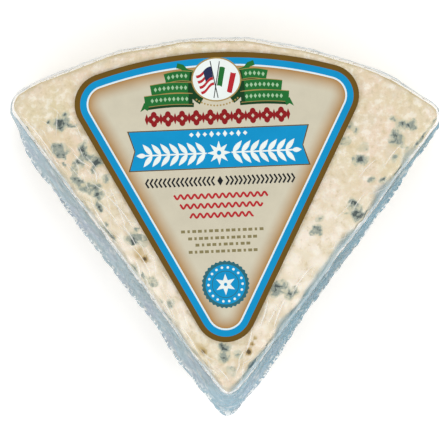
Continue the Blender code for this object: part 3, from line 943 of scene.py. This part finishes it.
def make_seal_tree():
    """Geometry Nodes: crimps the seal as one sheet, and frays its outer edge."""
    tree, given = new_tree(
        "crimped seal", ("Crimp Size", "Crimp Height", "Fray Size", "Fray Depth", "Seed")
    )
    place = add(tree, "GeometryNodeInputPosition", {}, {}).outputs[0]
    vectors = {}
    for name in ("across", "outward", "sheet"):
        vectors[name] = add(tree, "GeometryNodeInputNamedAttribute", {
            "data_type": "FLOAT_VECTOR",
        }, {"Name": name}).outputs["Attribute"]
    edge = add(tree, "GeometryNodeInputNamedAttribute", {"data_type": "FLOAT"}, {
        "Name": "edge",
    }).outputs["Attribute"]
    geometry = given["Geometry"]
    for where, size, height, way, held in (
        (vectors["sheet"], "Crimp Size", "Crimp Height", "across", None),
        (place, "Fray Size", "Fray Depth", "outward", edge),
    ):
        scale = add(tree, "ShaderNodeMath", {"operation": "DIVIDE"}, {
            0: 1.0, 1: given[size],
        }).outputs[0]
        wave = add(tree, "ShaderNodeTexNoise", {"noise_dimensions": "4D"}, {
            "Vector": where, "W": given["Seed"], "Scale": scale, "Detail": 2.0,
        }).outputs["Fac"]
        wave = add(tree, "ShaderNodeMapRange", {}, {
            "Value": wave, "From Min": 0.25, "From Max": 0.75, "To Min": -1.0, "To Max": 1.0,
        }).outputs[0]
        wave = add(tree, "ShaderNodeMath", {"operation": "MULTIPLY"}, {
            0: wave, 1: given[height],
        }).outputs[0]
        if held:
            wave = add(tree, "ShaderNodeMath", {"operation": "MULTIPLY"}, {
                0: wave, 1: held,
            }).outputs[0]
        offset = add(tree, "ShaderNodeVectorMath", {"operation": "SCALE"}, {
            0: vectors[way], "Scale": wave,
        }).outputs[0]
        geometry = add(tree, "GeometryNodeSetPosition", {}, {
            "Geometry": geometry, "Offset": offset,
        }).outputs[0]
    end_tree(tree, geometry, given["Material"])
    return tree


def make_film_seal():
    piece = merged_copy("film_seal", "film_rim")
    bm = bmesh.new()
    bm.from_mesh(piece.data)
    turn = math.radians(60)
    bmesh.ops.join_triangles(
        bm, faces=bm.faces, angle_face_threshold=turn, angle_shape_threshold=turn
    )
    bm.to_mesh(piece.data)
    bm.free()
    piece.data.shade_smooth()
    finer = piece.modifiers.new("finer", "SUBSURF")
    finer.levels = 2
    finer.render_levels = 2
    plain_mesh(piece)
    mesh = piece.data
    places, normals = places_and_normals(mesh)

    surface = wedge_surface()
    nearest = np.array([tuple(surface.find_nearest(Vector(place))[0]) for place in places])
    outward = places - nearest
    reach = np.linalg.norm(outward, axis=1)
    outward /= reach[:, None]
    middle = sum(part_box("cheese_wedge"), Vector()) / 2
    spoke = places[:, :2] - np.array(middle.xy)
    spoke /= np.linalg.norm(spoke, axis=1)[:, None]
    facing = (normals[:, :2] * spoke).sum(axis=1) + normals[:, 2]
    across = normals * np.where(facing < 0, -1, 1)[:, None]

    # How near each point is to the free edge, and to the fold where it hangs on the rind.
    bins = ((np.arctan2(spoke[:, 1], spoke[:, 0]) / (2 * math.pi) + 0.5) * 160).astype(int)
    widest = np.zeros(161)
    np.maximum.at(widest, bins, reach)
    from_wheel = np.linalg.norm(places[:, :2] - np.array(APEX + WHEEL_CENTRE), axis=1)
    folded = smoothstep(-1.5 * MM, 0.5 * MM, from_wheel - WHEEL_RADIUS)
    flat_edge = smoothstep(0.68, 0.9, reach / widest[bins]) * (1 - folded)
    hung_edge = smoothstep(-0.3 * MM, 0.5 * MM, places[:, 2] - SEAL_HEIGHT) * folded
    edge = np.maximum(flat_edge, hung_edge)
    # Places in the sheet, stretched across it so that streaks run along it.
    sheet = np.column_stack((spoke * 60 * MM, reach * 4))
    for name, rows in (("across", across), ("outward", outward), ("sheet", sheet)):
        attribute = mesh.attributes.new(name, "FLOAT_VECTOR", "POINT")
        attribute.data.foreach_set("vector", rows.astype(np.float32).ravel())
    store(mesh, "edge", edge)
    store(mesh, "folded", folded)
    run_tree(piece, make_seal_tree(), {
        "Crimp Size": 3.5 * MM,
        "Crimp Height": 0.38 * MM,
        "Fray Size": 3.2 * MM,
        "Fray Depth": 0.35 * MM,
        "Seed": 8.0,
        "Material": make_seal_material(),
    })
    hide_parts("film_rim")
    return piece


# ---------------------------------------------------------------- label

LABEL_SHEET = 0.25 * MM
LABEL_TOP = 0.58 * MM  # of its printed side, over the wedge's solid
DRAPE_STEP = 2.5  # between the points that let it follow the wedge's dents, in mm

INKS = {
    "border": "#6C4E0E",
    "blue": "#008FC6",
    "keyline": "#DDEBF0",
    "glow": "#AC8046",
    "field": "#CDC6B0",
    "white": "#E9F0EC",
    "gold": "#A58A4E",
    "outline": "#5B4A22",
    "green": "#1C6B2E",
    "dark green": "#0C3D1B",
    "mint": "#9FC49C",
    "crimson": "#8A1518",
    "flag red": "#B5242C",
    "red": "#B3242B",
    "black": "#14181C",
    "olive": "#857B55",
    "teal": "#2B6672",
    "navy": "#252C4E",
}
GLOW_WIDTH = 4.2  # how far the tan glow reaches into the field, in mm

# How far inside the label's edge each part of its border starts, in mm.
BAND_INSET = 1.6
KEYLINE_INSET = 3.5
FIELD_INSET = 4.0


def ellipse(centre, width, height, steps=40):
    return [
        (
            centre[0] + width / 2 * math.cos(2 * math.pi * k / steps),
            centre[1] + height / 2 * math.sin(2 * math.pi * k / steps),
        )
        for k in range(steps)
    ]


def lozenge(centre, width, height):
    x, y = centre
    return [(x - width / 2, y), (x, y - height / 2), (x + width / 2, y), (x, y + height / 2)]


def bar(centre, width, height, lean=0.0):
    """A bar whose top is pushed sideways by lean."""
    x, y = centre
    return [
        (x - width / 2 - lean / 2, y - height / 2),
        (x + width / 2 - lean / 2, y - height / 2),
        (x + width / 2 + lean / 2, y + height / 2),
        (x - width / 2 + lean / 2, y + height / 2),
    ]


def leaf(start, turn, length, width, steps=7):
    """A leaf from its stem end, pointing along turn, in radians."""
    way = Vector((math.cos(turn), math.sin(turn)))
    side = Vector((-way.y, way.x))
    edge = []
    for k in range(steps):
        share = k / steps
        edge.append(Vector(start) + way * length * share + side * width / 2 * leaf_bulge(share))
    back = []
    for k in range(steps):
        share = 1 - k / steps
        back.append(Vector(start) + way * length * share - side * width / 2 * leaf_bulge(share))
    return [tuple(point) for point in edge + back]


def leaf_bulge(share):
    """A leaf's half width along it: fullest a little before its middle."""
    return math.sin(math.pi * share**0.85)


def star(centre, outer, inner, points, turn=0.0):
    found = []
    for k in range(2 * points):
        radius = inner if k % 2 else outer
        angle = turn + math.pi * k / points
        found.append((centre[0] + radius * math.cos(angle), centre[1] + radius * math.sin(angle)))
    return found


def scallops(centre, radius, depth, count, steps_each=4):
    """A circle with a wavy edge."""
    found = []
    steps = count * steps_each
    for k in range(steps):
        angle = 2 * math.pi * k / steps
        reach = radius + depth * math.cos(count * angle)
        found.append((centre[0] + reach * math.cos(angle), centre[1] + reach * math.sin(angle)))
    return found


def ribbon(centre_line, width):
    """A band of even width along a bent line."""
    left, right = [], []
    for k, point in enumerate(centre_line):
        before = Vector(centre_line[max(0, k - 1)])
        after = Vector(centre_line[min(len(centre_line) - 1, k + 1)])
        way = (after - before).normalized()
        side = Vector((-way.y, way.x)) * width / 2
        left.append(tuple(Vector(point) + side))
        right.append(tuple(Vector(point) - side))
    return left + right[::-1]


def mirrored(shape):
    return [(-x, y) for x, y in shape][::-1]


def cloth(corners, along, down, steps=9):
    """Part of a waving flag, given its staff's top and foot, and its free top and foot."""
    top, foot, free_top, free_foot = (Vector(corner) for corner in corners)
    edges = []
    for share_down in down:
        edge = []
        for k in range(steps):
            share = along[0] + (along[1] - along[0]) * k / (steps - 1)
            place = top.lerp(foot, share_down).lerp(free_top.lerp(free_foot, share_down), share)
            edge.append((place.x, place.y + 0.35 * math.sin(2 * math.pi * share)))
        edges.append(edge)
    return edges[0] + edges[1][::-1]


def label_outline(inset):
    """The label's edge moved inwards, in its own millimetres, anticlockwise."""
    half = LABEL_ANGLE / 2
    roundness = LABEL_ROUND - inset
    arc_centre = Vector((0, LABEL_REACH - LABEL_ARC_RADIUS))
    point_centre = Vector((0, LABEL_ROUND / math.sin(half)))
    way = Vector((math.sin(half), math.cos(half)))
    normal = Vector((math.cos(half), -math.sin(half)))
    offset = arc_centre + LABEL_ROUND * normal
    along = offset.dot(way)
    reach = (LABEL_ARC_RADIUS - LABEL_ROUND) ** 2
    run = along + math.sqrt(along**2 - offset.length_squared + reach)
    corner = run * way - LABEL_ROUND * normal
    turn = math.atan2(*(corner - arc_centre).yx)

    def arc(centre, radius, start, end, steps):
        angles = [start + (end - start) * k / steps for k in range(steps + 1)]
        return [centre + radius * Vector((math.cos(a), math.sin(a))) for a in angles]

    right = arc(point_centre, roundness, -math.pi / 2, -half, 9)
    first, last = right[-1], corner + roundness * normal
    right += [first.lerp(last, k / 30) for k in range(1, 30)]
    right += arc(corner, roundness, -half, turn, 14)
    top = arc(arc_centre, LABEL_ARC_RADIUS - inset, turn, math.pi - turn, 44)[1:-1]
    left = [Vector((-p.x, p.y)) for p in reversed(right[1:])]
    return [tuple(p) for p in right + top + left]


def border_shapes():
    """The brown edge, blue band and white line, each filled over by the next."""
    yield "border", label_outline(0)
    yield "blue", label_outline(BAND_INSET)
    yield "keyline", label_outline(KEYLINE_INSET)
    yield "field", label_outline(FIELD_INSET)


def medallion_shapes():
    """A white oval over the blue band, with two crossed plain flags on staffs."""
    centre = (0.1, 86.6)
    yield "gold", ellipse(centre, 14.5, 12.9)
    yield "white", ellipse(centre, 13.7, 12.1)
    left = ((-1.3, 90.4), (-0.5, 85.0), (-5.8, 87.9), (-4.3, 82.4))
    for k in range(7):
        colour = "white" if k % 2 else "flag red"
        yield colour, cloth(left, (0, 1), (k / 7, (k + 1) / 7))
    yield "navy", cloth(left, (0, 0.52), (0, 4 / 7))
    right = ((1.2, 90.2), (0.2, 84.8), (5.9, 88.2), (4.4, 82.5))
    for k, colour in enumerate(("green", "white", "flag red")):
        yield colour, cloth(right, (k / 3, (k + 1) / 3), (0, 1))
    yield "black", ribbon([(-1.5, 92.0), (0.4, 81.2)], 0.26)
    yield "black", ribbon([(1.2, 91.8), (-0.8, 81.2)], 0.26)
    for k in range(-7, 8):
        angle = -math.pi / 2 + 0.105 * k
        place = (centre[0] + 8.9 * math.cos(angle), centre[1] + 7.6 * math.sin(angle))
        yield "gold", ellipse(place, 0.55, 0.55, 8)


def ribbon_shapes():
    """Three green ribbons on each side of the medallion, the lowest the longest."""
    for flip in (False, True):
        knot = [
            (7.6 * math.cos(angle), 85.4 + 6.2 * math.sin(angle))
            for angle in (-0.95 + 0.17 * k for k in range(10))
        ]
        tail = [(6.4, 88.6), (8.6, 89.3), (9.7, 90.6), (11.2, 91.0)]
        parts = [("dark green", ribbon(knot, 2.0)), ("green", ribbon(tail, 1.5))]
        for start, end, height, width, sag in (
            (7.0, 14.8, 87.7, 2.7, 0.5),
            (7.2, 19.0, 84.4, 2.9, 0.45),
            (7.0, 20.9, 81.2, 3.0, 0.35),
        ):
            line = []
            for k in range(13):
                share = k / 12
                wave = sag * math.sin(math.pi * share) - 0.35 * share
                line.append((start + (end - start) * share, height + wave))
            low = [(x - 0.3, y - width / 2 - 0.25) for x, y in line]
            parts.append(("dark green", ribbon(low, 1.3)))
            parts.append(("gold", ribbon(line, width + 0.35)))
            parts.append(("green", ribbon(line, width)))
            parts.append(("dark green", ribbon(line[:2], width)))
            x = start + 1.7
            while x < end - 1.0:
                share = (x - start) / (end - start)
                wave = sag * math.sin(math.pi * share) - 0.35 * share
                parts.append(("mint", lozenge((x, height + wave), 0.95, 1.35)))
                x += 1.25
        tip = [(19.6, 80.1), (21.1, 80.6), (22.3, 78.0), (21.0, 78.8), (20.1, 78.2)]
        parts.append(("green", tip))
        for ink, shape in parts:
            yield ink, mirrored(shape) if flip else shape


def name_shapes():
    """A dark red row of ornaments: quatrefoils between slim lozenges."""
    middle = 75.7
    for k in range(-5, 5):
        x = 4.1 * (k + 0.5)
        for dx, dy in ((1, 0), (-1, 0), (0, 1), (0, -1)):
            yield "crimson", ellipse((x + 0.85 * dx, middle + 1.15 * dy), 1.75, 2.2, 18)
        yield "field", lozenge((x, middle), 1.0, 1.2)
    for k in range(-5, 6):
        yield "crimson", lozenge((4.1 * k, middle), 1.2, 3.4)


def banner_shapes():
    """A blue swallow-tailed banner with a white garland of leaves."""
    low, high, half, notch = 60.75, 72.5, 26.4, 24.5
    middle = (low + high) / 2
    for ink, inset in (("outline", 0.0), ("blue", 0.3)):
        tail = half - 1.6 * inset
        yield ink, [
            (-tail, low + inset),
            (tail, low + inset),
            (notch - inset, middle),
            (tail, high - inset),
            (-tail, high - inset),
            (-notch + inset, middle),
        ]
    for k in range(-4, 5):
        yield "white", lozenge((1.95 * k, 70.8), 1.35, 1.9 if k % 2 else 1.3)
    stem = 65.3
    yield "white", star((0, stem), 3.5, 1.6, 8)
    yield "blue", ellipse((0, stem), 1.3, 1.3, 16)
    for side in (-1, 1):
        yield "white", ribbon([(side * 3.6, stem), (side * 21.6, stem)], 0.45)
        for k in range(7):
            x = side * (4.0 + 2.55 * k)
            for up in (-1, 1):
                turn = math.pi / 2 - side * (math.pi / 2 - up * 0.88)
                yield "white", leaf((x, stem), turn, 4.3, 1.45)
        yield "white", leaf((side * 21.2, stem), 0 if side > 0 else math.pi, 2.8, 1.4)


def rule_shapes():
    """A black rule of chevrons, three red wavy lines and four rows of small olive bars."""
    yield "black", lozenge((0, 57.2), 1.7, 2.8)
    for k in range(16):
        for side in (-1, 1):
            x = side * (1.7 + 1.27 * k)
            bent = [(x, 58.5), (x + side * 0.8, 57.2), (x, 55.9)]
            yield "black", ribbon(bent, 0.55)
    for row, (height, half) in enumerate(((52.9, 13.6), (50.1, 12.0), (47.3, 9.2))):
        steps = int(half * 5)
        line = []
        for k in range(-steps, steps + 1):
            x = half * k / steps
            line.append((x, height + 0.6 * math.sin(3.1 * x + row)))
        yield "red", ribbon(line, 0.6)
    for height, half in ((42.8, 12.2), (40.7, 10.2), (38.8, 8.2), (36.8, 10.2)):
        count = round(half / 0.8)
        for k in range(count):
            x = -half + (k + 0.5) * 2 * half / count
            yield "olive", bar((x, height), 1.15 - 0.45 * (k % 3 == 1), 0.85)


def badge_shapes():
    """A round blue badge with a scalloped edge, a ring of dots and a white star."""
    centre = (0.3, 27.1)
    yield "teal", scallops(centre, 6.8, 0.2, 32)
    yield "blue", ellipse(centre, 11.6, 11.6, 48)
    yield "teal", ellipse(centre, 7.9, 7.9, 40)
    yield "blue", ellipse(centre, 7.5, 7.5, 40)
    for k in range(18):
        angle = 2 * math.pi * k / 18
        place = (centre[0] + 4.95 * math.cos(angle), centre[1] + 4.95 * math.sin(angle))
        yield "white", ellipse(place, 0.75, 0.75, 8)
    yield "white", star(centre, 3.1, 1.35, 6, math.pi / 2)
    yield "blue", ellipse(centre, 1.0, 1.0, 12)


def label_shapes():
    """Every inked shape, from the bottom up."""
    for part in (
        border_shapes,
        ribbon_shapes,
        medallion_shapes,
        name_shapes,
        banner_shapes,
        rule_shapes,
        badge_shapes,
    ):
        yield from part()


def inside(shape, places):
    """Which of the places lie inside a closed shape."""
    x, y = places[:, 0], places[:, 1]
    found = np.zeros(len(places), dtype=bool)
    for (x1, y1), (x2, y2) in zip(shape, shape[1:] + shape[:1]):
        if y1 == y2:
            continue
        crosses = ((y1 > y) != (y2 > y)) & (x < (x2 - x1) * (y - y1) / (y2 - y1) + x1)
        found ^= crosses
    return found


def distance_inside(shape, places):
    """How far each place lies from a closed shape's edge."""
    nearest = np.full(len(places), np.inf)
    for start, end in zip(shape, shape[1:] + shape[:1]):
        start, way = np.array(start), np.array(end) - np.array(start)
        share = np.clip(((places - start) @ way) / (way @ way), 0, 1)
        away = np.linalg.norm(places - start - share[:, None] * way, axis=1)
        nearest = np.minimum(nearest, away)
    return nearest


def cut_into_triangles(shapes, outline):
    """Triangles whose edges follow every shape: places and corners, in label millimetres."""
    points, edges = [], []
    loops = [shape for _, shape in shapes]
    for share in (0.2, 0.4, 0.6, 0.8, 1.0):
        loops.append(label_outline(FIELD_INSET + GLOW_WIDTH * share))
    for shape in loops:
        first = len(points)
        points += [Vector(place) for place in shape]
        count = len(shape)
        edges += [(first + k, first + (k + 1) % count) for k in range(count)]
    columns = np.arange(-45, 45, DRAPE_STEP)
    rows = np.arange(0, LABEL_REACH + 1, DRAPE_STEP)
    grid = np.array([
        (x + (row % 2) * DRAPE_STEP / 2, y) for row, y in enumerate(rows) for x in columns
    ])
    kept = inside(outline, grid) & (distance_inside(outline, grid) > 0.4)
    points += [Vector(place) for place in grid[kept]]
    found, _, faces, *_ = delaunay_2d_cdt(points, edges, [], 0, 0.0005)
    places = np.array([tuple(place) for place in found])
    corners = np.array(faces)
    keep = inside(outline, places[corners].mean(axis=1))
    return places, corners[keep]


def ink_colours(shapes, places, corners):
    """A colour for each corner of each triangle: the topmost ink, some of them shaded."""
    middles = places[corners].mean(axis=1)
    names = np.full(len(corners), "border", dtype=object)
    for ink, shape in shapes:
        edge = np.array(shape)
        low, high = edge.min(axis=0), edge.max(axis=0)
        near = np.flatnonzero(((middles >= low) & (middles <= high)).all(axis=1))
        names[near[inside(shape, middles[near])]] = ink
    colours = np.array([linear(INKS[name]) for name in names])
    colours = np.repeat(colours[:, None, :], 3, axis=1)
    away = distance_inside(label_outline(FIELD_INSET), places)
    glow = (1 - np.clip(away / GLOW_WIDTH, 0, 1)) ** 1.25
    warmth = smoothstep(1.7, 0.5, distance_inside(label_outline(0), places)) * 0.4
    for ink, shade, amount in (("field", "glow", glow), ("border", "outline", warmth)):
        share = amount[corners][:, :, None] * (names == ink)[:, None, None]
        colours = colours * (1 - share) + np.array(linear(INKS[shade])) * share
    return colours


def make_label_material():
    """Label paper with a satin film face, offset-printed.

    It gives the eye flat, even inks with a soft sheen that the film's small waves break.
    """
    material, tree, output = new_material("offset_printed_satin_label_paper")
    place = add(tree, "ShaderNodeTexCoord", {}, {}).outputs["Object"]
    ink = add(tree, "ShaderNodeAttribute", {"attribute_name": "ink"}, {}).outputs["Color"]
    mottle = add(tree, "ShaderNodeTexNoise", {}, {
        "Vector": place, "Scale": per_size(6), "Detail": 3.0, "Roughness": 0.6,
    }).outputs["Fac"]
    lift = add(tree, "ShaderNodeMapRange", {}, {
        "Value": mottle, "From Min": 0.3, "From Max": 0.7, "To Min": 0.96, "To Max": 1.04,
    }).outputs[0]
    printed = add(tree, "ShaderNodeVectorMath", {"operation": "SCALE"}, {
        0: ink, "Scale": lift,
    }).outputs[0]
    sheen = add(tree, "ShaderNodeMapRange", {}, {
        "Value": mottle, "From Min": 0.3, "From Max": 0.7, "To Min": 0.38, "To Max": 0.5,
    }).outputs[0]
    waves = add(tree, "ShaderNodeTexNoise", {}, {
        "Vector": place, "Scale": per_size(11), "Detail": 1.0,
    }).outputs["Fac"]
    bump = add(tree, "ShaderNodeBump", {}, {
        "Height": waves, "Strength": 0.4, "Distance": 0.25 * MM,
    }).outputs[0]
    shader = add(tree, "ShaderNodeBsdfPrincipled", {}, {
        "Base Color": printed,
        "Roughness": sheen,
        "Normal": bump,
        "IOR": 1.45,
        "Specular IOR Level": 0.2,
    })
    tree.links.new(shader.outputs[0], output.inputs["Surface"])
    return material


def make_core_material():
    """The label paper's own white, at its cut edge and on its back."""
    material, tree, output = new_material("uncoated_paper_core")
    place = add(tree, "ShaderNodeTexCoord", {}, {}).outputs["Object"]
    fibres = add(tree, "ShaderNodeTexNoise", {}, {
        "Vector": place, "Scale": per_size(0.8), "Detail": 3.0,
    }).outputs["Fac"]
    colour = add(tree, "ShaderNodeMix", {"data_type": "RGBA"}, {
        0: fibres, 6: linear("#DEDACC"), 7: linear("#EFECE2"),
    }).outputs[2]
    shader = add(tree, "ShaderNodeBsdfPrincipled", {}, {"Base Color": colour, "Roughness": 0.8})
    tree.links.new(shader.outputs[0], output.inputs["Surface"])
    return material


def make_label():
    shapes = list(label_shapes())
    outline = label_outline(0)
    places, corners = cut_into_triangles(shapes, outline)
    colours = ink_colours(shapes, places, corners)

    cosine, sine = math.cos(LABEL_TURN), math.sin(LABEL_TURN)
    turn = np.array(((cosine, sine), (-sine, cosine)))
    plan = places * MM @ turn + np.array(APEX + LABEL_APEX)
    wedge = wedge_surface()
    drop = Vector((0, 0, -1))
    draped = []
    for x, y in plan:
        hit = wedge.ray_cast(Vector((x, y, 2 * FACE_HEIGHT)), drop)[0]
        draped.append((x, y, hit.z + LABEL_TOP))
    mesh = bpy.data.meshes.new("label_print")
    mesh.from_pydata(draped, [], corners.tolist())
    ink = mesh.color_attributes.new("ink", "FLOAT_COLOR", "CORNER")
    ink.data.foreach_set("color", colours.astype(np.float32).ravel())
    mesh.shade_smooth()
    piece = new_piece("label_print", mesh)
    mesh.materials.append(make_label_material())
    mesh.materials.append(make_core_material())
    sheet = piece.modifiers.new("sheet", "SOLIDIFY")
    sheet.thickness = LABEL_SHEET
    sheet.offset = -1
    sheet.material_offset = 1
    sheet.material_offset_rim = 1
    plain_mesh(piece)
    piece.data.set_sharp_from_angle(angle=math.radians(40))
    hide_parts("label")
    return piece


# ---------------------------------------------------------------- room, light and camera

VIEW_CENTRE = Vector((-2.8 * MM, 53.5 * MM))  # from the apex
VIEW_DISTANCE = 0.8
VIEW_WIDTH = 127.3 * MM  # of what the camera takes in, at the upper face


def make_floor():
    """A plain white floor that keeps the pack's shadow."""
    mesh = bpy.data.meshes.new("floor")
    reach = 1.5
    mesh.from_pydata(
        [(-reach, -reach, 0), (reach, -reach, 0), (reach, reach, 0), (-reach, reach, 0)],
        [],
        [(0, 1, 2, 3)],
    )
    floor = new_piece("floor", mesh)
    material, tree, output = new_material("white_sweep")
    path = add(tree, "ShaderNodeLightPath", {}, {}).outputs
    seen = add(tree, "ShaderNodeMath", {"operation": "MAXIMUM"}, {
        0: path["Is Camera Ray"], 1: path["Is Transmission Ray"],
    }).outputs[0]
    glow = add(tree, "ShaderNodeMath", {"operation": "MULTIPLY"}, {0: seen, 1: 0.3}).outputs[0]
    shader = add(tree, "ShaderNodeBsdfPrincipled", {}, {
        "Base Color": linear("#F2F2F2"),
        "Roughness": 0.9,
        "Specular IOR Level": 0.1,
        "Emission Color": linear("#FFFFFF"),
        "Emission Strength": glow,
    })
    tree.links.new(shader.outputs[0], output.inputs["Surface"])
    floor.data.materials.append(material)


def make_world():
    world = bpy.data.worlds.new("studio")
    world.use_nodes = True
    tree = world.node_tree
    tree.nodes.clear()
    path = add(tree, "ShaderNodeLightPath", {}, {}).outputs
    strength = add(tree, "ShaderNodeMapRange", {}, {
        "Value": path["Is Camera Ray"], "To Min": 0.6, "To Max": 1.0,
    }).outputs[0]
    background = add(tree, "ShaderNodeBackground", {}, {
        "Color": linear("#FFFFFF"), "Strength": strength,
    })
    output = add(tree, "ShaderNodeOutputWorld", {}, {"Surface": background.outputs[0]})
    output.is_active_output = True
    bpy.context.scene.world = world


def make_softbox(name, azimuth, elevation, distance, size, watts):
    """A square area lamp that points at the pack. Azimuth 0 is in front, 90 to the right."""
    lamp = bpy.data.lights.new(name, "AREA")
    lamp.shape = "SQUARE"
    lamp.size = size
    lamp.energy = watts
    turn, rise = math.radians(azimuth), math.radians(elevation)
    level = math.cos(rise)
    way = Vector((math.sin(turn) * level, -math.cos(turn) * level, math.sin(rise)))
    box = bpy.data.objects.new(name, lamp)
    box.location = way * distance
    box.rotation_euler = way.to_track_quat("Z", "Y").to_euler()
    bpy.context.scene.collection.objects.link(box)


def make_camera():
    camera = bpy.data.cameras.new("camera")
    camera.sensor_width = 36
    camera.lens = camera.sensor_width * VIEW_DISTANCE / VIEW_WIDTH
    camera.clip_start = 0.01
    held = bpy.data.objects.new("camera", camera)
    aim = APEX + VIEW_CENTRE
    held.location = (aim.x, aim.y, FACE_HEIGHT + VIEW_DISTANCE)
    bpy.context.scene.collection.objects.link(held)
    bpy.context.scene.camera = held


make_camera()
for made, slot in (
    (make_paste(), "cheese"),
    (make_film_skin(), "film"),
    (make_film_folds(), "film"),
    (make_film_seal(), "film"),
    (make_label(), "label"),
):
    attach(made, "root")

make_floor()
make_world()
make_softbox("key", azimuth=60, elevation=42, distance=0.9, size=0.55, watts=2.4)
make_softbox("fill", azimuth=-55, elevation=40, distance=0.9, size=0.5, watts=2.0)
make_softbox("back", azimuth=180, elevation=38, distance=0.9, size=0.5, watts=1.8)

bpy.context.scene.view_settings.view_transform = "Standard"
